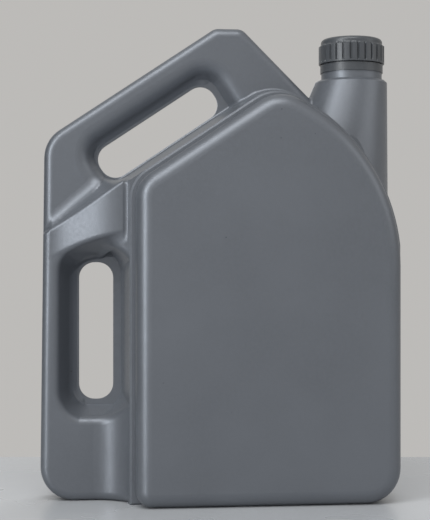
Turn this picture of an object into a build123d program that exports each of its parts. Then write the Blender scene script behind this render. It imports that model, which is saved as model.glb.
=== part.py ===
from build123d import *
import os
from math import acos, cos, degrees, radians, sin, sqrt, tan

# Five-litre blow-moulded jerrycan with a slanted carrying grip, an upright pouring grip,
# a screw cap, the cap's tamper band and its sealing liner. Millimetres.
# X runs along the can's width with the neck on the +X side, Y through its thickness with
# the mould's parting plane at Y = 0, and Z up. The origin is the middle of the can's
# outline on the floor.

# Wall of the blow-moulded can
wall = 1.3

# Tank: the deep block that holds the liquid
tank_width = 178.5
tank_depth = 110.0
panel_radius = 10.0
shoulder_height = 160.0
shoulder_radius = 125.0
apex_radius = 25.0
slope_corner_radius = 20.0
heel_radius = 24.0
toe_radius = 11.0

# Ledge that frames the tank's panel, with walls that lean in from the parting plane
rim_width = 3.5
rim_depth = 70.0
rim_bevel = 1.2
rim_draft = 8.0
side_flat = 0.6

# Push-up under the tank
base_inset = 13.0
base_lift = 2.5
base_draft = 40.0

# Ridge that the carrying frame rises from: its slope, and its rise over the shoulder at X = 0
slope_angle = 33.7
ridge_rise = 99.0
ridge_blend = 2.0

# Grips and finger openings, pressed in from both sides to a pinched web
grip_width = 26.0
finger_width = 24.0
finger_corner = 11.0
pocket_draft = 34.0
pocket_radius = 12.0
pinch_wall = 2.9
edge_radius = 6.0

# Upright handle beside the tank: it flares out to the ledge, more widely above its opening than below,
# and arches close its pocket towards the tank
handle_depth = 34.0
handle_lean = 3.0
handle_foot_radius = 23.0
foot_flare_radius = 26.0
head_flare_radius = 60.0
flare_drop = 1.7
upright_web = 5.0
upright_grip_lip = 4.0
upright_end_lip = 3.5
arch_lip = 8.0
arch_radius = 16.0
arch_draft = 12.0
upright_top_margin = 40.0
upright_foot_margin = 67.7

# Carrying frame above the ridge
frame_depth = 24.0
frame_corner_radius = 23.0
frame_flat = 19.0
frame_crown_radius = 8.0
frame_fall_angle = 45.0
carry_web = 6.0
carry_grip_lip = 3.2
carry_low_lip = 0.6
carry_high_lip = 4.0
carry_low_margin = 21.4
carry_high_margin = 24.9
notch_drop = 14.0

# Neck column and finish
column_radius = 25.0
column_rise = 20.9
column_flare_angle = 23.0
column_foot_depth = 66.0
column_inset = 1.8
column_bevel = 1.8
collar_radius = 21.3
collar_height = 5.3
neck_radius = 19.4
neck_wall = 2.2
neck_height = 26.5
bead_rise = 1.0
bead_height = 1.7
bead_lift = 3.1

# Cap
cap_radius = 23.1
cap_crown_radius = 21.6
cap_skirt_height = 12.4
cap_top_thickness = 1.6
cap_bore_radius = 20.7
cap_edge_bevel = 2.4
cap_edge_rise = 1.6
cap_foot_ring = 0.9
grip_groove_count = 28
grip_groove_width = 1.4
grip_groove_depth = 1.1

# Tamper band, hooked under the neck's bead, with the stubs of its bridges
band_radius = 22.0
band_height = 5.6
band_gap = 0.6
band_bore_radius = 20.7
band_hook_clearance = 0.35
band_hook_height = 2.4
bridge_count = 14
bridge_width = 1.2
bridge_height = 0.45

# Liner
liner_thickness = 1.2
liner_clearance = 0.7

# Places worked out from the sizes
tank_half = tank_depth / 2
rim_half = rim_depth / 2
handle_half = handle_depth / 2
frame_half = frame_depth / 2
slope = radians(slope_angle)
fall = radians(frame_fall_angle)
ridge_height = shoulder_height + ridge_rise
lean_in = tan(radians(rim_draft))
draft_reach = rim_half * lean_in
handle_reach = grip_width + finger_width + upright_web + draft_reach
can_width = handle_reach + rim_width + tank_width + rim_width - side_flat
half_width = can_width / 2
tank_right = half_width - rim_width + side_flat
tank_left = tank_right - tank_width
grip_span = carry_web + finger_width + grip_width
inside = tank_left + slope_corner_radius
along_slope = Vector(cos(slope), sin(slope))
off_slope = Vector(-sin(slope), cos(slope))
shoulder_centre = Vector(tank_right - shoulder_radius, shoulder_height)
neck_axis = half_width - column_radius - column_inset
crest_radius = shoulder_radius + rim_width + draft_reach
crest_run = neck_axis - column_radius - shoulder_centre.X
column_top = shoulder_height + sqrt(crest_radius**2 - crest_run**2) + column_rise
collar_top = column_top + collar_height
mouth_height = column_top + neck_height
cap_foot = collar_top + band_height + band_gap
liner_top = mouth_height + liner_thickness
cap_top = liner_top + cap_top_thickness
flare_height = rim_half - handle_half - flare_drop
flare_end = tank_left - rim_width - flare_drop * lean_in
upright_x = -half_width + grip_width + finger_width / 2
upright_high = ridge_height + upright_x * tan(slope) - upright_top_margin
FAR = 2 * (can_width + ridge_height)


def slope_point(along, off):
    """Point of the front view, measured along the ridge and off it from X = 0."""
    return Vector(0, ridge_height) + along_slope * along + off_slope * off


def off_ridge(shape):
    """How far a shape's middle lies off the ridge in the front view."""
    return Vector(shape.center().X, shape.center().Z - ridge_height).dot(off_slope)


def edge_x(height):
    """X of the handle's outer edge, which leans towards the tank as it rises."""
    return -half_width + handle_lean * (height - handle_foot_radius) / ridge_height


def edge_point(off):
    """Where a line parallel to the ridge meets the handle's outer edge."""
    lean = handle_lean / ridge_height
    along = edge_x(ridge_height + off * cos(slope)) + off * sin(slope)
    return slope_point(along / (cos(slope) - lean * sin(slope)), off)


# Corners of the carrying frame's outline, from the handle's edge over the crown to the column
flare = tan(radians(column_flare_angle))
down_fall = Vector(cos(fall), -sin(fall))
off_fall = Vector(sin(fall), cos(fall))
grip_top = slope_point(0, grip_span)
frame_corner = edge_point(grip_span)
frame_notch = Vector(neck_axis - column_radius - notch_drop * flare, column_top - notch_drop)
frame_peak = grip_top + along_slope * ((frame_notch - grip_top).dot(off_fall) / along_slope.dot(off_fall))
frame_trim = frame_flat / (1 / tan(slope) + 1 / tan(fall))
frame_crown = frame_peak - along_slope * (frame_trim / sin(slope))
frame_brink = frame_peak + down_fall * (frame_trim / sin(fall))
frame_foot = frame_notch + down_fall * column_radius

# Finger openings, each with its length and the plane it is cut from
carry_low = (frame_corner - grip_top).dot(along_slope) + carry_low_margin
carry_high = (frame_crown - grip_top).dot(along_slope) - carry_high_margin
carry_length = carry_high - carry_low
carry_middle = slope_point((carry_low + carry_high) / 2, carry_web + finger_width / 2)
carry_plane = Plane((carry_middle.X, 0, carry_middle.Y), x_dir=(cos(slope), 0, sin(slope)), z_dir=(0, -1, 0))
upright_length = upright_high - upright_foot_margin
upright_middle = upright_foot_margin + upright_length / 2
upright_plane = Plane((upright_x, 0, upright_middle), x_dir=(0, 0, 1), z_dir=(0, -1, 0))


def front_face(points, corners):
    """Front-view outline from its points, with a rounding at each listed corner point."""
    with BuildSketch(Plane.XZ) as sketch:
        with BuildLine():
            Polyline(*points, close=True)
        make_face()
    return round_corners(sketch.sketch, corners)


def round_corners(outline, corners):
    """Rounds the outline's corner nearest to each listed point."""
    for point, radius in corners:
        corner = outline.vertices().sort_by_distance(Vector(point.X, 0, point.Y))[0]
        outline = fillet(corner, radius)
    return outline


def mirrored(front):
    """A front feature together with its mirror image behind the parting plane."""
    return front + mirror(front, Plane.XZ)


def soften(edges, radius, skin):
    """Rounds outer edges; on the inside a bevel follows them at about the wall's thickness."""
    if skin > 0:
        return chamfer(edges, 0.65 * radius)
    return fillet(edges, radius)


def tank_outline(grow, floor):
    """Front view of the tank, grown by a width on its sides and standing on a floor height."""
    right = tank_right + grow
    left = tank_left - grow
    radius = shoulder_radius + grow
    slope_off = grow - rim_width
    reach = slope_point(0, slope_off).dot(off_slope) - shoulder_centre.dot(off_slope)
    apex_angle = radians(90) + slope - acos(reach / radius)
    apex = shoulder_centre + Vector(cos(apex_angle), sin(apex_angle)) * radius
    corner = slope_point((left + slope_off * sin(slope)) / cos(slope), slope_off)
    with BuildSketch(Plane.XZ) as sketch:
        with BuildLine():
            Polyline((left, floor), (right, floor), (right, shoulder_height))
            CenterArc(shoulder_centre, radius, 0, degrees(apex_angle))
            Polyline(apex, corner, (left, floor))
        make_face()
    return round_corners(sketch.sketch, [(apex, apex_radius + grow), (corner, slope_corner_radius + grow),
                                         (Vector(right, floor), heel_radius + grow),
                                         (Vector(left, floor), toe_radius + grow)])


def tank(skin):
    """Deep block of the tank with its rounded panel edges."""
    block = extrude(tank_outline(-skin, skin), tank_half - skin, both=True)
    return soften(block.faces().filter_by(Axis.Y).edges(), panel_radius, skin)


def rim(skin):
    """Ledge round the tank, planed flat on the neck's side and on the floor."""
    outline = tank_outline(rim_width + draft_reach - skin, -tank_half)
    slab = mirrored(extrude(outline, rim_half - skin, taper=rim_draft))
    right = half_width - skin
    clip = front_face([(right, skin), (right, FAR), (-FAR, FAR), (-FAR, skin)],
                      [(Vector(right, skin), heel_radius - skin)])
    slab = slab & extrude(clip, rim_depth, both=True)
    return slab if skin > 0 else chamfer(slab.faces().filter_by(Axis.Y).edges(), rim_bevel)


def ridge_cut(skin):
    """Everything above the leaning wall that rises from the ridge to the carrying frame."""
    crest = draft_reach - skin / cos(radians(rim_draft))
    across = Plane((0, 0, ridge_height), x_dir=(0, 1, 0), z_dir=(cos(slope), 0, sin(slope)))
    low = crest - FAR * lean_in
    with BuildSketch(across) as profile:
        with BuildLine():
            Polyline((0, crest), (FAR, low), (FAR, FAR), (-FAR, FAR), (-FAR, low), close=True)
        make_face()
    return extrude(profile.sketch, FAR, both=True)


def draft_gap(thick, draft):
    """How far a drafted wall's outline grows when the wall thickens behind it."""
    return thick / cos(radians(draft)) - thick * tan(radians(draft))


def pocket(plane, length, skin, grip_lip, low_lip, high_lip):
    """Finger pocket in front of the parting plane, widening outwards and open towards the tank."""
    thick = skin / wall * pinch_wall
    grow = draft_gap(thick, pocket_draft)
    low = -length / 2 - low_lip - grow
    high = length / 2 + high_lip + grow
    top = finger_width / 2 + grip_lip + grow
    radius = finger_corner + grow
    with BuildSketch(plane.offset(wall - thick)) as section:
        with BuildLine():
            Polyline((low + radius, top), (high - radius, top))
            CenterArc((high - radius, top - radius), radius, 0, 90)
            Polyline((high, top - radius), (high, -FAR), (low, -FAR), (low, top - radius))
            CenterArc((low + radius, top - radius), radius, 90, 90)
        make_face()
    return extrude(section.sketch, rim_half, taper=-pocket_draft)


def arched(skin):
    """Limit of the upright handle's pocket, which closes it in an arch towards the tank at both ends."""
    thick = skin / wall * pinch_wall
    grow = draft_gap(thick, arch_draft)
    high = upright_length / 2 + arch_lip + grow
    side = -finger_width / 2 - upright_web - grow
    radius = arch_radius + grow
    with BuildSketch(upright_plane.offset(wall - thick)) as section:
        with BuildLine():
            Polyline((radius - high, side), (high - radius, side))
            CenterArc((high - radius, side + radius), radius, -90, 90)
            Polyline((high, side + radius), (high, FAR), (-high, FAR), (-high, side + radius))
            CenterArc((radius - high, side + radius), radius, 180, 90)
        make_face()
    return extrude(section.sketch, rim_half, taper=-arch_draft)


def press_pockets(slab, front, skin, half, room, limit):
    """Presses a finger pocket into both faces of a slab and rounds its brow within the room there."""
    slant = (half - wall) * tan(radians(pocket_draft))
    radius = min(pocket_radius, 0.8 * (room - slant) / tan(radians(45 - pocket_draft / 2)))
    cut = slab - front
    brow = [e for e in new_edges(slab, front, combined=cut)
            if e.center().Y < skin - half + 0.01 and e.center().X < limit]
    pressed = cut if skin > 0 else fillet(brow, radius)
    ahead = Box(FAR, FAR, FAR, align=(Align.CENTER, Align.MAX, Align.CENTER))
    return mirrored(pressed & ahead)


def finger_opening(plane, length):
    """Opening through the pinched web."""
    with BuildSketch(plane) as opening:
        RectangleRounded(length, finger_width, finger_corner)
    return extrude(opening.sketch, rim_half, both=True)


def flared_plan(skin, flare_radius):
    """Handle seen from above: a flat slab that flares out to the ledge on a radius."""
    half = handle_half - skin
    radius = flare_radius + skin
    sweep = acos(1 - flare_height / flare_radius)
    start_x = flare_end - flare_radius * sin(sweep)
    crest_x = start_x + radius * sin(sweep)
    crest = half + radius * (1 - cos(sweep))
    left = -half_width - handle_lean
    with BuildSketch(Plane.XY) as plan:
        with BuildLine():
            Polyline((start_x, -half), (left, -half), (left, half), (start_x, half))
            CenterArc((start_x, half + radius), radius, -90, degrees(sweep))
            Polyline((crest_x, crest), (inside, crest), (inside, -crest), (crest_x, -crest))
            CenterArc((start_x, -half - radius), radius, 90, -degrees(sweep))
        make_face()
    return plan.sketch


def handle(skin):
    """Upright handle: a slab that flares out towards the ledge and ends at the ridge."""
    half = handle_half - skin
    foot_block = extrude(flared_plan(skin, foot_flare_radius), upright_middle)
    head_block = extrude(flared_plan(skin, head_flare_radius), ridge_height - upright_middle)
    foot = Vector(edge_x(0) + skin, skin)
    side = front_face([foot, (inside + wall, skin), (inside + wall, ridge_height),
                       (edge_x(ridge_height) + skin, ridge_height)], [(foot, handle_foot_radius - skin)])
    slab = (foot_block + Pos(0, 0, upright_middle) * head_block) & extrude(side, tank_half, both=True)
    outer = [e for e in slab.edges()
             if (abs(e.center().Z - skin) < 0.01 or e.center().X < handle_foot_radius - half_width)
             and abs(e.center().Y) > half - 0.01 and e.center().X < inside - 0.01
             and e.center().Z < ridge_height - 0.01]
    slab = soften(outer, edge_radius, skin)
    above = ridge_cut(skin)
    trimmed = slab - above
    if skin == 0:
        ridge = [e for e in new_edges(slab, above, combined=trimmed)
                 if abs(e.center().Y) > half - edge_radius and e.center().X < flare_end]
        trimmed = chamfer(ridge, rim_bevel)
    room = grip_width - handle_lean / 2 - edge_radius - upright_grip_lip
    front = pocket(upright_plane, upright_length, skin, upright_grip_lip, upright_end_lip, upright_end_lip)
    front = front & arched(skin)
    return press_pockets(trimmed, front, skin, handle_half, room, flare_end)


def carrier(skin):
    """Carrying frame: the slanted grip, its crown and the fall towards the neck."""
    sunk = -edge_radius - 2 * wall
    low = edge_point(sunk)
    inner = slope_point(inside / cos(slope), sunk)
    corners = [low, inner, (frame_foot.X, inner.Y), frame_foot, frame_brink, frame_crown, frame_corner]
    outline = front_face(corners, [(frame_corner, frame_corner_radius), (frame_crown, frame_crown_radius),
                                   (frame_brink, frame_crown_radius)])
    if skin > 0:
        outline = offset(outline, -skin)
    slab = extrude(outline, frame_half - skin, both=True)
    outer = [e for e in slab.faces().filter_by(Axis.Y).edges() if off_ridge(e) > sunk / 2]
    slab = soften(outer, edge_radius, skin)
    room = grip_width - edge_radius - carry_grip_lip
    front = pocket(carry_plane, carry_length, skin, carry_grip_lip, carry_low_lip, carry_high_lip)
    return press_pockets(slab, front, skin, frame_half, room, half_width)


def column(skin):
    """Neck column: a cone tilted until its outer side is upright, so that it flares to the ridge."""
    half_angle = radians(column_flare_angle / 2)
    apex = column_top + 2 * column_radius / tan(2 * half_angle)
    height = (apex - shoulder_height) / cos(half_angle)
    cone = Cone(height * tan(half_angle), 0, height, align=(Align.CENTER, Align.CENTER, Align.MAX))
    cone = Rot(0, column_flare_angle / 2, 0) * Pos(0, 0, -skin / sin(half_angle)) * cone
    cone = Pos(neck_axis + column_radius, 0, apex) * cone
    block = Box(FAR, column_foot_depth - 2 * skin, column_top - skin - shoulder_height,
                align=(Align.CENTER, Align.CENTER, Align.MIN))
    return cone & Pos(0, 0, shoulder_height) * block


def base_recess(skin):
    """Push-up under the tank, which leaves a standing ring."""
    grow = 2 * skin / cos(radians(base_draft))
    left = tank_left + toe_radius + base_inset
    right = tank_right - heel_radius - base_inset
    depth = tank_depth - 2 * panel_radius - 2 * base_inset
    with BuildSketch(Plane.XY.offset(skin)) as mouth:
        with Locations(((left + right) / 2, 0)):
            RectangleRounded(right - left + grow, depth + grow, base_inset)
    return extrude(mouth.sketch, base_lift, taper=base_draft)


def ring(points):
    """Solid of revolution about the neck's axis from radius and height pairs."""
    with BuildSketch(Plane.XZ) as section:
        with BuildLine():
            Polyline(*points, close=True)
        make_face()
    return Pos(neck_axis, 0, 0) * revolve(section.sketch, Axis.Z)


def disc(radius, low, high):
    """Upright cylinder on the neck's axis."""
    return Pos(neck_axis, 0, low) * Cylinder(radius, high - low, align=(Align.CENTER, Align.CENTER, Align.MIN))


def around(count, shape):
    """Copies of a shape spread evenly round the neck's axis."""
    return [Pos(neck_axis, 0, 0) * Rot(0, 0, 360 * index / count) * shape for index in range(count)]


def neck():
    """Collar, thread root and the bead that holds the tamper band down."""
    root = neck_radius
    bead_low = collar_top + bead_lift
    low = column_top - wall
    crest = root + bead_rise
    return ring([(0, low), (collar_radius, low), (collar_radius, collar_top), (root, collar_top),
                 (root, bead_low), (crest, bead_low), (crest, bead_low + bead_height / 3),
                 (root, bead_low + bead_height), (root, mouth_height - neck_wall / 3),
                 (root - neck_wall / 3, mouth_height), (0, mouth_height)])


def outer_form():
    """Moulded outside of the can, with the blend where the carrying frame runs into the rest."""
    body = tank(0) + rim(0) + handle(0) + column(0)
    frame = carrier(0)
    form = body + frame
    rise = [e for e in new_edges(body, frame, combined=form) if e.center().X > edge_x(0) + handle_lean]
    form = fillet(rise, ridge_blend)
    top = form.faces().filter_by(Axis.Z).sort_by(lambda f: abs(f.center().Z - column_top))[0]
    form = chamfer(top.edges(), column_bevel)
    form = form - finger_opening(carry_plane, carry_length) - finger_opening(upright_plane, upright_length)
    return form + neck() - base_recess(0)


def cavity():
    """Space inside the can: its parts set in by the wall, and the neck's bore."""
    space = tank(wall) + rim(wall) + handle(wall) + carrier(wall) + column(wall)
    bore = disc(neck_radius - neck_wall, column_top - 4 * wall, mouth_height + wall)
    return space - base_recess(wall) + bore


def screw_cap():
    """Cap shell with a grooved skirt and a smooth, narrower crown."""
    skirt_top = cap_foot + cap_skirt_height
    step = cap_radius - cap_crown_radius
    shell = ring([(0, cap_foot), (cap_radius, cap_foot), (cap_radius, skirt_top),
                  (cap_crown_radius, skirt_top + step), (cap_crown_radius, cap_top - cap_edge_rise),
                  (cap_crown_radius - cap_edge_bevel / 3, cap_top - cap_edge_rise / 3),
                  (cap_crown_radius - cap_edge_bevel, cap_top), (0, cap_top)])
    groove = Box(2 * grip_groove_depth, grip_groove_width, cap_skirt_height,
                 align=(Align.CENTER, Align.CENTER, Align.MIN))
    shell = shell - around(grip_groove_count, Pos(cap_radius, 0, cap_foot + cap_foot_ring) * groove)
    return shell - disc(cap_bore_radius, cap_foot - wall, liner_top)


def tamper_band():
    """Band left on the neck, hooked below the bead, with its bridge stubs on top."""
    top = collar_top + band_height
    hook = neck_radius + band_hook_clearance
    hook_top = collar_top + band_hook_height
    thick = band_radius - band_bore_radius
    hoop = ring([(hook, collar_top), (band_radius, collar_top), (band_radius, top), (band_bore_radius, top),
                 (band_bore_radius, hook_top + thick / 2), (hook, hook_top)])
    stub = Box(thick / 2, bridge_width, 2 * bridge_height)
    return hoop + around(bridge_count, Pos(band_radius - thick / 2, 0, top) * stub)


def cap_liner():
    """Sealing disc between the mouth and the underside of the cap."""
    return disc(cap_bore_radius - liner_clearance, mouth_height, liner_top)


os.makedirs("parts", exist_ok=True)
export_step(outer_form() - cavity(), "parts/canister.step")
export_step(screw_cap(), "parts/screw_cap.step")
export_step(tamper_band(), "parts/tamper_band.step")
export_step(cap_liner(), "parts/cap_liner.step")
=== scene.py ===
import math

import bmesh
import bpy
import numpy as np
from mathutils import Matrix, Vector
from mathutils.bvhtree import BVHTree


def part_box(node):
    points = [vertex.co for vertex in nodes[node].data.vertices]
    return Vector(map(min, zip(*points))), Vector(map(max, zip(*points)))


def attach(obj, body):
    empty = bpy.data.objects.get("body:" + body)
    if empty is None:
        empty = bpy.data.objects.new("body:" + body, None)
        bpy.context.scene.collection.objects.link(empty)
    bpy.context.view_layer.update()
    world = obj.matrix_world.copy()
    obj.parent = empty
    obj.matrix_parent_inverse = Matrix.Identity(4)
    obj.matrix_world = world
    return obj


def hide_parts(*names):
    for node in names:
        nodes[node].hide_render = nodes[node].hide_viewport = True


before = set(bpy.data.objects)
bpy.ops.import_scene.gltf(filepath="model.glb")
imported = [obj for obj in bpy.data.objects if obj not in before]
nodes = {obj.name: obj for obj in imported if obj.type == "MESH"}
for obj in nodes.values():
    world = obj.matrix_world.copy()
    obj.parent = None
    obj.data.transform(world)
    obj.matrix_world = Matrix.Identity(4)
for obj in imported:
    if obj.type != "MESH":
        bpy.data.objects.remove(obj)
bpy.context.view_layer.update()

MM = 0.001

# Camera: level with the tank's middle, a little to the left of the can's front
IMAGE_HEIGHT_PX = 520
FOCAL_PX = 1314
SENSOR_HEIGHT = 36.0
CAMERA_PLACE = (-0.1009, -0.9146, 0.164)
CAMERA_YAW = math.radians(6.2)
CAMERA_NEAR = 0.01

# Stage: a pale, slightly glossy table that ends at the backdrop
TABLE_DEPTH = 1.094
TABLE_FRONT = 0.9
TABLE_HALF_WIDTH = 1.6
TABLE_COLOUR = (0.49, 0.495, 0.505)
TABLE_ROUGHNESS = 0.28
TABLE_SMEAR = 0.06
TABLE_SMEAR_SCALE = 9
BACKDROP_COLOUR = (0.505, 0.495, 0.48, 1)
BACKDROP_STRENGTH = 1.0

# Light: soft lamps in a dim room, and a dark card that keeps light off the can's left side
AMBIENT_COLOUR = (0.92, 0.96, 1.0, 1)
AMBIENT_STRENGTH = 0.32
LAMP_AIM = (0.0, 0.0, 0.16)
WINDOW_COLOUR = (0.93, 0.97, 1.0)
LAMP_COLOUR = (0.97, 0.99, 1.0)
FLAG_START = (-0.75, -0.25)
FLAG_END = (-0.75, 1.0)
FLAG_HEIGHT = 1.4
FLAG_COLOUR = (0.02, 0.02, 0.02)
FLAG_ROUGHNESS = 0.9

# Plastics: cloudy pigment with pale flecks and, where a plastic has them, dark specks
CAN_COLOUR = (0.150, 0.160, 0.178)
CAP_COLOUR = (0.064, 0.068, 0.074)
LINER_COLOUR = (0.70, 0.70, 0.67)
CLOUD_SCALE = 16
CLOUD_SPAN = (0.35, 0.65)
CLOUD_SHADE = 0.045
FLECK_SCALE = 420
FLECK_MIX = 0.35
FLECK_TINT = 1.12
FLECK_GLOSS = 0.04
SPECK_SCALE = 38.0
SPECK_SPAN = (0.010, 0.022)
SPECK_MIX = 0.75
SPECK_TINT = 0.35
SAG_SCALE = 26
NOISE_SPAN = (0.3, 0.7)

# Meshes: FAR is a distance beyond the whole object
SHARP_ANGLE = math.radians(35)
MERGE_DISTANCE = 1e-6
FAR = 1.0

# Screw cap: rows are shares of a height or a width at which the section has a ring
GROOVE_COUNT = 28
GROOVE_SAMPLES = 16
GROOVE_DEPTH = 1.4 * MM
GROOVE_HALF_FLAT = 0.40 * MM
GROOVE_HALF_MOUTH = 1.0 * MM
GROOVE_RUN_IN = 0.06
SKIRT_HEIGHT = 12.4 * MM
SKIRT_ROWS = (0.0, 0.03, 0.08, 0.3, 0.55, 0.8, 0.94, 1.0)
FOOT_RING = 0.9 * MM
FOOT_CHAMFER = 0.25 * MM
BORE_CHAMFER = 2 * FOOT_CHAMFER
CROWN_INSET = 1.5 * MM
CROWN_INSET_ROWS = (0.25, 0.5, 0.75, 1.0)
CROWN_ROUNDING = 2.8 * MM
CROWN_STEPS = 8
DISH_DEPTH = 0.25 * MM
DISH_BRINK = 0.6 * MM
DISH_FLOOR = 1.6 * MM
GATE_RADIUS = 1.6 * MM
GATE_EDGE = 1.4 * GATE_RADIUS
GATE_DEPTH = 1.6 * DISH_DEPTH
CAP_WALL = 2.4 * MM
CAP_TOP_WALL = 1.6 * MM
ROOF_ROWS = (0.3, 0.7, 1.0)

# Thread: two turns and a quarter, right-handed
PITCH = 4.0 * MM
THREAD_TURNS = 2.25
THREAD_STEPS = 40
THREAD_RISE = 0.95 * MM
THREAD_ROOT_WIDTH = 1.7 * MM
THREAD_CREST_WIDTH = 0.7 * MM
THREAD_SUNK = 0.3 * MM
THREAD_RUNOUT_TURNS = 0.14
THREAD_END_SHARE = 0.05
NECK_RADIUS = 19.4 * MM
NECK_THREAD_DROP = 13.2 * MM

# Mould's parting line: from just above the floor to the collar
BEAD_RADIUS = 0.24 * MM
COLLAR_HEIGHT = 5.3 * MM
FLOOR_CLEAR = 1.0 * MM
OUTSIDE_PROBE = 0.4 * MM
POINT_DIGITS = 6

# Blends: the filling that a ball leaves when it rolls over the can's front, within boxes that are
# turned to lie along the ridge or the upright grip. A box has a low and a high corner, and each
# corner a place along the grip and across it. The filling is evened out along the grip, over
# BLEND_RUN steps each way.
RIDGE_TURN = math.radians(33.7)
RIDGE_HEIGHT = 259 * MM
UPRIGHT_TURN = math.radians(90)
CARRY_BOX = ((-97 * MM, 27 * MM), (14 * MM, 44 * MM))
UPRIGHT_BOX = ((62 * MM, 92 * MM), (168 * MM, 108 * MM))
GRIP_RADIUS = 11 * MM
LIP_WIDTH = 0.8 * MM
BLEND_STEP = 0.5 * MM
BLEND_END_FADE = 6 * MM
BLEND_SIDE_FADE = 2 * MM
BLEND_LEAST = 0.02 * MM
BLEND_SUNK = 0.08 * MM
BLEND_THICKNESS = 0.7 * MM
BLEND_RUN = 10

# Head of the upright grip: a band that swells from the grip up to the ledge, with an arched brow
# over the upright pocket, a brink along the ridge's foot and a wide cove between brink and ridge.
# It fades out where less than a share of the can round a spot, within HEAD_CLEAR, is solid.
HEAD_BOX = ((-158 * MM, -34 * MM), (-70 * MM, 30 * MM))
HEAD_START = -117 * MM
HEAD_END = -67 * MM
HEAD_LEFT = -119 * MM
HEAD_LEFT_FADE = 4 * MM
HEAD_RIGHT = -62 * MM
HEAD_RIGHT_FADE = 5 * MM
HEAD_LOW = 16.9 * MM
HEAD_RISE = 15.3 * MM
HEAD_SKEW = 0.92
HEAD_BAND = 17.5 * MM
HEAD_CLEAR = 4.5 * MM
CLEAR_LEAST = 0.64995
CLEAR_SPAN = 0.35
ARCH_TOP = 180.5 * MM
ARCH_CORNER = 12 * MM
BROW_RADIUS = 6 * MM
BROW_TILT = math.radians(58)
BRINK = 3.0 * MM
BRINK_RADIUS = 2.5 * MM
BRINK_TILT = math.radians(72)
COVE_RADIUS = 12 * MM
COVE_LOW = -4 * MM

cap_low, cap_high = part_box("screw_cap")
band_low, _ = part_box("tamper_band")
liner_low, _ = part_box("cap_liner")
axis_x = (cap_low.x + cap_high.x) / 2
cap_radius = (cap_high.x - cap_low.x) / 2
bore_radius = cap_radius - CAP_WALL
mouth_height = liner_low.z
thread_low = mouth_height - NECK_THREAD_DROP


def new_material(name, colour, roughness):
    """Material and its Principled shader."""
    material = bpy.data.materials.new(name)
    material.use_nodes = True
    shader = material.node_tree.nodes["Principled BSDF"]
    shader.inputs["Base Color"].default_value = (*colour, 1)
    shader.inputs["Roughness"].default_value = roughness
    return material, shader


def add_node(material, kind, **values):
    """Adds a node; a value's name is a property's or, with _ for each space, an input's."""
    node = material.node_tree.nodes.new(kind)
    for name, value in values.items():
        if hasattr(node, name):
            setattr(node, name, value)
        else:
            node.inputs[name.replace("_", " ")].default_value = value
    return node


def link(material, source, output, target, name):
    """Joins a node's output to another node's input."""
    material.node_tree.links.new(source.outputs[output], target.inputs[name])


def noise(material, place, scale, detail):
    """Noise in the object's own space, with features of about one over the scale in metres."""
    node = add_node(material, "ShaderNodeTexNoise", Scale=scale, Detail=detail)
    link(material, place, "Object", node, "Vector")
    return node


def remap(material, source, output, span, target):
    """Maps a span of values to another one and stays within it."""
    node = add_node(material, "ShaderNodeMapRange", clamp=True, From_Min=span[0], From_Max=span[1],
                    To_Min=target[0], To_Max=target[1])
    link(material, source, output, node, "Value")
    return node


def colour_sockets(sockets):
    """Colour sockets of a node that has a socket of the same name for each type of value."""
    return [socket for socket in sockets if socket.type == "RGBA"]


def mix_colours(material, factor, first, second):
    """Mix of a colour, or of another mix, with a colour."""
    node = add_node(material, "ShaderNodeMix", data_type="RGBA")
    link(material, factor, "Result", node, "Factor")
    socket_a, socket_b = colour_sockets(node.inputs)
    if isinstance(first, bpy.types.Node):
        material.node_tree.links.new(colour_sockets(first.outputs)[0], socket_a)
    else:
        socket_a.default_value = (*first, 1)
    socket_b.default_value = (*second, 1)
    return node


def bump(material, height, distance, under=None):
    """Bump of a noise's height in metres, on top of another bump."""
    node = add_node(material, "ShaderNodeBump", Distance=distance, Strength=1.0)
    link(material, height, "Fac", node, "Height")
    if under is not None:
        link(material, under, "Normal", node, "Normal")
    return node


def tint(colour, factor):
    """Darker or paler colour."""
    return tuple(c * factor for c in colour)


def moulded_plastic(name, colour, roughness, grain_scale, grain_depth, sag_depth, metallic=0.0,
                    specks=False):
    """Pigmented plastic with the mould's grain, a slightly wavy wall and an uneven colour."""
    material, shader = new_material(name, colour, roughness)
    shader.inputs["Metallic"].default_value = metallic
    place = add_node(material, "ShaderNodeTexCoord")
    clouds = noise(material, place, CLOUD_SCALE, detail=3)
    flecks = noise(material, place, FLECK_SCALE, detail=2)
    grain = noise(material, place, grain_scale, detail=3)
    sag = noise(material, place, SAG_SCALE, detail=1)
    clouded = remap(material, clouds, "Fac", CLOUD_SPAN, (0, 1))
    base = mix_colours(material, clouded, tint(colour, 1 - CLOUD_SHADE),
                       tint(colour, 1 + CLOUD_SHADE))
    flecked = remap(material, flecks, "Fac", NOISE_SPAN, (0, FLECK_MIX))
    base = mix_colours(material, flecked, base, tint(colour, FLECK_TINT))
    if specks:
        cells = add_node(material, "ShaderNodeTexVoronoi", Scale=SPECK_SCALE)
        link(material, place, "Object", cells, "Vector")
        specked = remap(material, cells, "Distance", SPECK_SPAN, (SPECK_MIX, 0))
        base = mix_colours(material, specked, base, tint(colour, SPECK_TINT))
    material.node_tree.links.new(colour_sockets(base.outputs)[0], shader.inputs["Base Color"])
    gloss = remap(material, flecks, "Fac", NOISE_SPAN,
                  (roughness - FLECK_GLOSS, roughness + FLECK_GLOSS))
    link(material, gloss, "Result", shader, "Roughness")
    wavy = bump(material, sag, sag_depth)
    fine = bump(material, grain, grain_depth, under=wavy)
    link(material, fine, "Normal", shader, "Normal")
    return material


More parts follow.
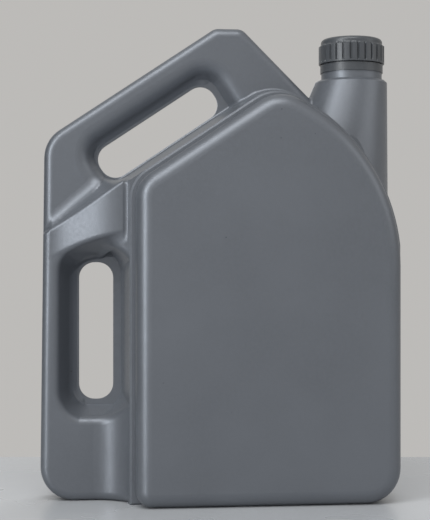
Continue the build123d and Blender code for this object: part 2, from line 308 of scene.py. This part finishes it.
can_plastic = moulded_plastic("can_plastic", CAN_COLOUR, roughness=0.40, grain_scale=1400,
                              grain_depth=0.04 * MM, sag_depth=0.5 * MM, metallic=0.45, specks=True)
cap_plastic = moulded_plastic("cap_plastic", CAP_COLOUR, roughness=0.36, grain_scale=2200,
                              grain_depth=0.02 * MM, sag_depth=0.1 * MM)
liner_foam = moulded_plastic("liner_foam", LINER_COLOUR, roughness=0.8, grain_scale=1800,
                             grain_depth=0.1 * MM, sag_depth=0.1 * MM)


def add_mesh(name, mesh, material, body):
    """Object from a bmesh, smooth by angle, riding on a body."""
    bmesh.ops.recalc_face_normals(mesh, faces=mesh.faces)
    data = bpy.data.meshes.new(name)
    mesh.to_mesh(data)
    mesh.free()
    data.materials.append(material)
    piece = bpy.data.objects.new(name, data)
    bpy.context.scene.collection.objects.link(piece)
    data.shade_smooth()
    data.set_sharp_from_angle(angle=SHARP_ANGLE)
    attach(piece, body)
    return piece


def skin_rings(mesh, rings):
    """Quads between rings of vertices, and a face on the first and the last ring."""
    for first, second in zip(rings, rings[1:]):
        for step in range(len(first)):
            after = (step + 1) % len(first)
            mesh.faces.new((first[step], first[after], second[after], second[step]))
    mesh.faces.new(rings[0])
    mesh.faces.new(rings[-1])


def ease(value):
    """Smooth step from 0 to 1, of a number or a grid."""
    value = np.clip(value, 0, 1)
    return value * value * (3 - 2 * value)


def cap_profile():
    """Cap's section from its underside outwards: radius, height and share of the grooves' depth."""
    foot = cap_low.z
    top = cap_high.z
    roof = top - CAP_TOP_WALL
    grooves_low = foot + FOOT_RING
    skirt_top = foot + SKIRT_HEIGHT
    inset_top = skirt_top + CROWN_INSET
    crown = cap_radius - CROWN_INSET
    flat = crown - CROWN_ROUNDING
    rows = [(bore_radius * share, roof, 0) for share in ROOF_ROWS]
    rows += [(bore_radius, (roof + foot) / 2, 0),
             (bore_radius, foot + BORE_CHAMFER, 0),
             (bore_radius + BORE_CHAMFER, foot, 0),
             (cap_radius - FOOT_CHAMFER, foot, 0),
             (cap_radius, foot + FOOT_CHAMFER, 0),
             (cap_radius, grooves_low - FOOT_CHAMFER, 0)]
    for share in SKIRT_ROWS:
        height = grooves_low + (skirt_top - grooves_low) * share
        rows.append((cap_radius, height, ease(share / GROOVE_RUN_IN)))
    for share in CROWN_INSET_ROWS:
        inset = CROWN_INSET * share
        rows.append((cap_radius - inset, skirt_top + inset * share, 1 - ease(share)))
    rows.append((crown, (inset_top + top - CROWN_ROUNDING) / 2, 0))
    for step in range(CROWN_STEPS + 1):
        angle = math.radians(90) * step / CROWN_STEPS
        rows.append((crown - CROWN_ROUNDING * (1 - math.cos(angle)),
                     top - CROWN_ROUNDING * (1 - math.sin(angle)), 0))
    rows += [(flat - DISH_BRINK, top, 0),
             (flat - DISH_FLOOR, top - DISH_DEPTH, 0),
             (flat / 2, top - DISH_DEPTH, 0),
             (GATE_EDGE, top - DISH_DEPTH, 0),
             (GATE_RADIUS, top - GATE_DEPTH, 0)]
    return rows


def groove_share(step):
    """Share of the grooves' depth at a step round the cap."""
    turn = (step % GROOVE_SAMPLES) / GROOVE_SAMPLES
    across = min(turn, 1 - turn) * 2 * math.pi / GROOVE_COUNT * cap_radius
    return 1 - ease((across - GROOVE_HALF_FLAT) / (GROOVE_HALF_MOUTH - GROOVE_HALF_FLAT))


def make_cap():
    """Screw cap with rounded grooves, a smooth crown and its open underside."""
    mesh = bmesh.new()
    count = GROOVE_COUNT * GROOVE_SAMPLES
    grooves = [groove_share(step) for step in range(count)]
    rings = []
    for radius, height, grooved in cap_profile():
        ring = []
        for step, groove in enumerate(grooves):
            angle = 2 * math.pi * step / count
            reach = radius - GROOVE_DEPTH * groove * grooved
            ring.append(mesh.verts.new((axis_x + reach * math.cos(angle),
                                        reach * math.sin(angle), height)))
        rings.append(ring)
    skin_rings(mesh, rings)
    piece = add_mesh("cap_shell", mesh, cap_plastic, "cap")
    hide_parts("screw_cap")


def make_thread(name, wall_radius, rise, low, material, body):
    """Helical ridge on a round wall; a negative rise points inwards."""
    mesh = bmesh.new()
    steps = round(THREAD_STEPS * THREAD_TURNS)
    sunk = wall_radius - math.copysign(THREAD_SUNK, rise)
    sections = []
    for step in range(steps + 1):
        turns = THREAD_TURNS * step / steps
        angle = 2 * math.pi * turns
        height = low + PITCH * turns
        swell = ease(min(turns, THREAD_TURNS - turns) / THREAD_RUNOUT_TURNS)
        crest = wall_radius + rise * (THREAD_END_SHARE + (1 - THREAD_END_SHARE) * swell)
        corners = ((sunk, -THREAD_ROOT_WIDTH / 2), (crest, -THREAD_CREST_WIDTH / 2),
                   (crest, THREAD_CREST_WIDTH / 2), (sunk, THREAD_ROOT_WIDTH / 2))
        sections.append([mesh.verts.new((axis_x + radius * math.cos(angle),
                                         radius * math.sin(angle), height + up))
                         for radius, up in corners])
    skin_rings(mesh, sections)
    add_mesh(name, mesh, material, body)


def parting_edges():
    """Edges of the can's section in the parting plane that lie on its outside."""
    cut = bmesh.new()
    cut.from_mesh(nodes["canister"].data)
    bmesh.ops.remove_doubles(cut, verts=cut.verts, dist=MERGE_DISTANCE)
    tree = BVHTree.FromBMesh(cut)
    found = bmesh.ops.bisect_plane(cut, geom=cut.verts[:] + cut.edges[:] + cut.faces[:],
                                   dist=MERGE_DISTANCE, plane_co=(0, 0, 0), plane_no=(0, 1, 0))
    top = band_low.z - COLLAR_HEIGHT
    kept = []
    for edge in found["geom_cut"]:
        if not isinstance(edge, bmesh.types.BMEdge) or not edge.link_faces:
            continue
        first, second = (v.co.copy() for v in edge.verts)
        middle = (first + second) / 2
        normal = sum((f.normal for f in edge.link_faces), Vector())
        normal.y = 0
        if normal.length < MERGE_DISTANCE or not FLOOR_CLEAR < middle.z < top:
            continue
        outside = middle + normal.normalized() * OUTSIDE_PROBE
        if tree.ray_cast(outside, Vector((0, -1, 0)))[0] is None:
            kept.append((first, second))
    cut.free()
    return kept


def chains(edges):
    """Runs of joined points from loose edges, each begun at a free end where there is one."""
    def key(point):
        return tuple(round(c, POINT_DIGITS) for c in point)

    ends = {}
    for first, second in edges:
        ends.setdefault(key(first), []).append(key(second))
        ends.setdefault(key(second), []).append(key(first))
    runs = []
    while ends:
        start = next((p for p in sorted(ends) if len(ends[p]) == 1), None) or min(ends)
        run = [start]
        while ends.get(run[-1]):
            here = run[-1]
            after = ends[here].pop(0)
            ends[after].remove(here)
            run.append(after)
            for point in (here, after):
                if not ends.get(point):
                    ends.pop(point, None)
        ends.pop(start, None)
        if len(run) > 2:
            runs.append(run)
    return runs


def make_parting_line():
    """Fine raised line that the two halves of the mould leave round the can."""
    curve = bpy.data.curves.new("parting_line", "CURVE")
    curve.dimensions = "3D"
    curve.bevel_depth = BEAD_RADIUS
    curve.bevel_resolution = 1
    for run in chains(parting_edges()):
        spline = curve.splines.new("POLY")
        spline.points.add(len(run) - 1)
        for point, place in zip(spline.points, run):
            point.co = (*place, 1)
    shape = bpy.data.objects.new("parting_line_path", curve)
    bpy.context.scene.collection.objects.link(shape)
    graph = bpy.context.evaluated_depsgraph_get()
    mesh = bmesh.new()
    mesh.from_mesh(bpy.data.meshes.new_from_object(shape.evaluated_get(graph)))
    bpy.data.objects.remove(shape)
    add_mesh("parting_line", mesh, can_plastic, "can")


def moves(steps):
    """Every move over a grid by up to a number of steps along and across."""
    span = range(-steps, steps + 1)
    return [(along, across) for along in span for across in span]


def shifted(grid, along, across):
    """Grid moved by whole steps; past its border it goes on as at the border."""
    reach = max(abs(along), abs(across))
    padded = np.pad(grid, reach, mode="edge")
    rows, columns = grid.shape
    return padded[reach + along:reach + along + rows, reach + across:reach + across + columns]


def rolled(heights, radius):
    """Height grid after a ball has rolled over it: its inner corners get the ball's radius."""
    ball = []
    for along, across in moves(int(radius / BLEND_STEP)):
        rest = radius ** 2 - (along ** 2 + across ** 2) * BLEND_STEP ** 2
        if rest >= 0:
            ball.append((along, across, math.sqrt(rest)))
    path = np.full_like(heights, -FAR)
    for along, across, rise in ball:
        path = np.maximum(path, shifted(heights, along, across) + rise)
    under = np.full_like(heights, FAR)
    for along, across, rise in ball:
        under = np.minimum(under, shifted(path, along, across) - rise)
    return under


def fall(inside, radius, tilt):
    """How far a rounded edge falls at a distance inside its border; past its arc it is a slope."""
    reach = radius * math.sin(tilt)
    past = np.maximum(reach - inside, 0)
    arc = radius - np.sqrt(radius ** 2 - np.minimum(past, reach) ** 2)
    return arc + np.maximum(past - reach, 0) * math.tan(tilt)


def head_form(x, z):
    """Depth of the head: level on the grip, then an ogee out to the ledge, with two round edges."""
    across = (z - RIDGE_HEIGHT) * math.cos(RIDGE_TURN) - x * math.sin(RIDGE_TURN)
    share = np.clip((x - HEAD_START) / (HEAD_END - HEAD_START), 0, 1) ** HEAD_SKEW
    depth = HEAD_LOW + HEAD_RISE * ease(share)
    flank = across + HEAD_BAND + ARCH_CORNER
    crest = z - ARCH_TOP + ARCH_CORNER
    inside = np.hypot(np.maximum(flank, 0), np.maximum(crest, 0))
    inside += np.minimum(np.maximum(flank, crest), 0) - ARCH_CORNER
    depth -= fall(inside, BROW_RADIUS, BROW_TILT)
    depth -= fall(BRINK - across, BRINK_RADIUS, BRINK_TILT)
    return np.where((x > HEAD_START) & (x < HEAD_RIGHT), depth, -FAR)


def head_fade(x, found):
    """1 over the head, down to 0 at its ends and close to the openings and the outline."""
    ends = np.minimum((x - HEAD_LEFT) / HEAD_LEFT_FADE, (HEAD_RIGHT - x) / HEAD_RIGHT_FADE)
    steps = round(HEAD_CLEAR / BLEND_STEP)
    filled = sum(shifted(found, *move) for move in moves(steps)) / (2 * steps + 1) ** 2
    return np.clip(ends, 0, 1) * ease((filled - CLEAR_LEAST) / CLEAR_SPAN)


def box_fade(along, across, box):
    """1 within a box, down to 0 at its border."""
    (low_along, low_across), (high_along, high_across) = box
    ends = ease(np.minimum(along - low_along, high_along - along) / BLEND_END_FADE)
    sides = ease(np.minimum(across - low_across, high_across - across) / BLEND_SIDE_FADE)
    return np.outer(ends, sides)


def blend_grid(start, turn, box, margin):
    """Steps along and across a turned box with a margin, and the x and z of each crossing."""
    along, across = (np.arange(low - margin, high + margin, BLEND_STEP) for low, high in zip(*box))
    u, v = np.meshgrid(along, across, indexing="ij")
    cos, sin = math.cos(turn), math.sin(turn)
    return along, across, start[0] + u * cos - v * sin, start[1] + u * sin + v * cos


def front_depth(tree, x, z):
    """How far the can's front lies before the parting plane, or -FAR where there is none."""
    depth = np.full(x.shape, -FAR)
    for spot in np.ndindex(x.shape):
        hit = tree.ray_cast(Vector((x[spot], -FAR, z[spot])), Vector((0, 1, 0)))[0]
        if hit is not None and hit.y < 0:
            depth[spot] = -hit.y
    return depth


def ball_filling(level, held, radius, across):
    """What a rolled ball fills in, evened out along the box except below the cove."""
    filling = np.where(held, rolled(np.where(held, level, -FAR), radius) - level, 0)
    weights = np.hanning(2 * BLEND_RUN + 3)[1:-1] / (BLEND_RUN + 1)
    even = sum(weight * shifted(filling, step - BLEND_RUN, 0)
               for step, weight in enumerate(weights))
    return np.where(across > COVE_LOW, even, filling)


def add_shell(mesh, x, z, top, cells, side):
    """Adds a thin closed shell over a grid's cells, on the front (-1) or the back (1)."""
    spots = sorted({spot for cell in cells for spot in cell})
    outer, inner = ({spot: mesh.verts.new((x[spot], side * (top[spot] - drop), z[spot]))
                     for spot in spots} for drop in (0, BLEND_THICKNESS))
    borders = {}
    for cell in cells:
        for skin in (outer, inner):
            mesh.faces.new([skin[spot] for spot in cell])
        for pair in zip(cell, cell[1:] + cell[:1]):
            borders.setdefault(tuple(sorted(pair)), []).append(pair)
    for pairs in borders.values():
        if len(pairs) == 1:
            first, second = pairs[0]
            mesh.faces.new((outer[first], outer[second], inner[second], inner[first]))


def add_blend(mesh, tree, start, turn, box, radius, with_head=False):
    """Adds what a ball fills in within a turned box, with or without the head, on both faces."""
    along, across, x, z = blend_grid(start, turn, box, radius)
    depth = front_depth(tree, x, z)
    found = depth >= 0
    lip_steps = math.ceil(LIP_WIDTH / BLEND_STEP)
    held = np.logical_and.reduce([shifted(found, *move) for move in moves(lip_steps)])
    fade = box_fade(along, across, box)
    level = depth
    if with_head:
        fade = fade * head_fade(x, found)
        level = np.maximum(depth, head_form(x, z))
    level = np.minimum(level, HEAD_LOW + HEAD_RISE)
    rise = (level + ball_filling(level, held, radius, across) - depth) * fade * held
    shown = rise > BLEND_LEAST
    top = depth + np.where(shown, rise, -BLEND_SUNK)
    cells = []
    for i, j in np.ndindex(len(along) - 1, len(across) - 1):
        cell = ((i, j), (i + 1, j), (i + 1, j + 1), (i, j + 1))
        if any(shown[spot] for spot in cell) and all(found[spot] for spot in cell):
            cells.append(cell)
    for side in (-1, 1):
        add_shell(mesh, x, z, top, cells, side)


def make_blends():
    """Head of the upright grip, and rounded inner corners of both finger pockets at the grips."""
    tree = BVHTree.FromObject(nodes["canister"], bpy.context.evaluated_depsgraph_get())
    ridge = (0, RIDGE_HEIGHT)
    head = bmesh.new()
    add_blend(head, tree, ridge, RIDGE_TURN, HEAD_BOX, COVE_RADIUS, with_head=True)
    add_mesh("grip_head", head, can_plastic, "can")
    grips = bmesh.new()
    add_blend(grips, tree, ridge, RIDGE_TURN, CARRY_BOX, GRIP_RADIUS)
    add_blend(grips, tree, (0, 0), UPRIGHT_TURN, UPRIGHT_BOX, GRIP_RADIUS)
    add_mesh("grip_corners", grips, can_plastic, "can")


def dress_nodes():
    """Finish of the CAD nodes that stay."""
    nodes["canister"].data.materials[0] = can_plastic
    nodes["tamper_band"].data.materials[0] = cap_plastic
    nodes["cap_liner"].data.materials[0] = liner_foam


def add_sheet(name, corners, material, seen=True):
    """Flat sheet of the stage, which the camera sees or looks through."""
    data = bpy.data.meshes.new(name)
    data.from_pydata(corners, [], [range(len(corners))])
    data.materials.append(material)
    sheet = bpy.data.objects.new(name, data)
    sheet.visible_camera = seen
    bpy.context.scene.collection.objects.link(sheet)


def make_table():
    """Pale table top under the can, up to the backdrop."""
    material, shader = new_material("table", TABLE_COLOUR, TABLE_ROUGHNESS)
    place = add_node(material, "ShaderNodeTexCoord")
    smear = noise(material, place, TABLE_SMEAR_SCALE, detail=3)
    gloss = remap(material, smear, "Fac", NOISE_SPAN,
                  (TABLE_ROUGHNESS - TABLE_SMEAR, TABLE_ROUGHNESS + TABLE_SMEAR))
    link(material, gloss, "Result", shader, "Roughness")
    ahead = Vector((math.sin(CAMERA_YAW), math.cos(CAMERA_YAW), 0))
    aside = Vector((ahead.y, -ahead.x, 0)) * TABLE_HALF_WIDTH
    under_camera = Vector((CAMERA_PLACE[0], CAMERA_PLACE[1], 0))
    front = under_camera - ahead * TABLE_FRONT
    end = under_camera + ahead * TABLE_DEPTH
    add_sheet("table", [front - aside, front + aside, end + aside, end - aside], material)


def make_flag():
    """Dark card that keeps light off one side; the camera looks through it."""
    material, _ = new_material("flag", FLAG_COLOUR, FLAG_ROUGHNESS)
    corners = [(*FLAG_START, 0), (*FLAG_END, 0),
               (*FLAG_END, FLAG_HEIGHT), (*FLAG_START, FLAG_HEIGHT)]
    add_sheet("flag", corners, material, seen=False)


def make_world():
    """Dim, even room light, and a pale backdrop where the camera or a reflection sees it."""
    world = bpy.data.worlds.new("studio")
    bpy.context.scene.world = world
    world.use_nodes = True
    tree = world.node_tree
    room = tree.nodes["Background"]
    room.inputs["Color"].default_value = AMBIENT_COLOUR
    room.inputs["Strength"].default_value = AMBIENT_STRENGTH
    backdrop = tree.nodes.new("ShaderNodeBackground")
    backdrop.inputs["Color"].default_value = BACKDROP_COLOUR
    backdrop.inputs["Strength"].default_value = BACKDROP_STRENGTH
    rays = tree.nodes.new("ShaderNodeLightPath")
    seen = tree.nodes.new("ShaderNodeMath")
    seen.operation = "MAXIMUM"
    tree.links.new(rays.outputs["Is Camera Ray"], seen.inputs[0])
    tree.links.new(rays.outputs["Is Glossy Ray"], seen.inputs[1])
    mix = tree.nodes.new("ShaderNodeMixShader")
    for source, target in zip((seen, room, backdrop), mix.inputs):
        tree.links.new(source.outputs[0], target)
    tree.links.new(mix.outputs[0], tree.nodes["World Output"].inputs["Surface"])


def add_softbox(name, place, width, height, watts, colour=LAMP_COLOUR, mirrored=True):
    """Soft lamp turned to the can, with or without its reflection."""
    lamp = bpy.data.lights.new(name, "AREA")
    lamp.shape = "RECTANGLE"
    lamp.size = width
    lamp.size_y = height
    lamp.energy = watts
    lamp.color = colour
    box = bpy.data.objects.new(name, lamp)
    box.location = place
    box.visible_glossy = mirrored
    box.rotation_euler = (Vector(LAMP_AIM) - Vector(place)).to_track_quat("-Z", "Y").to_euler()
    bpy.context.scene.collection.objects.link(box)


def make_camera():
    """Level camera with the photograph's angle of view."""
    data = bpy.data.cameras.new("camera")
    data.sensor_fit = "VERTICAL"
    data.sensor_height = SENSOR_HEIGHT
    data.lens = FOCAL_PX / IMAGE_HEIGHT_PX * SENSOR_HEIGHT
    data.clip_start = CAMERA_NEAR
    camera = bpy.data.objects.new("camera", data)
    camera.location = CAMERA_PLACE
    camera.rotation_euler = (math.radians(90), 0, -CAMERA_YAW)
    bpy.context.scene.collection.objects.link(camera)
    bpy.context.scene.camera = camera


dress_nodes()
make_cap()
make_thread("neck_thread", NECK_RADIUS, THREAD_RISE, thread_low,
            can_plastic, "can")
make_thread("cap_thread", bore_radius, -THREAD_RISE, thread_low + PITCH / 2,
            cap_plastic, "cap")
make_parting_line()
make_blends()
make_table()
make_world()
make_camera()
add_softbox("window_left", place=(-1.15, -0.95, 0.55), width=0.45, height=1.4, watts=15,
            colour=WINDOW_COLOUR)
add_softbox("ceiling", place=(-0.35, -0.9, 1.7), width=1.4, height=1.0, watts=19)
add_softbox("fill_right", place=(1.5, -0.75, 0.9), width=1.0, height=1.0, watts=3.5)
add_softbox("back", place=(0.5, 1.5, 1.5), width=1.4, height=1.0, watts=18, mirrored=False)
make_flag()

bpy.context.scene.view_settings.view_transform = "Standard"
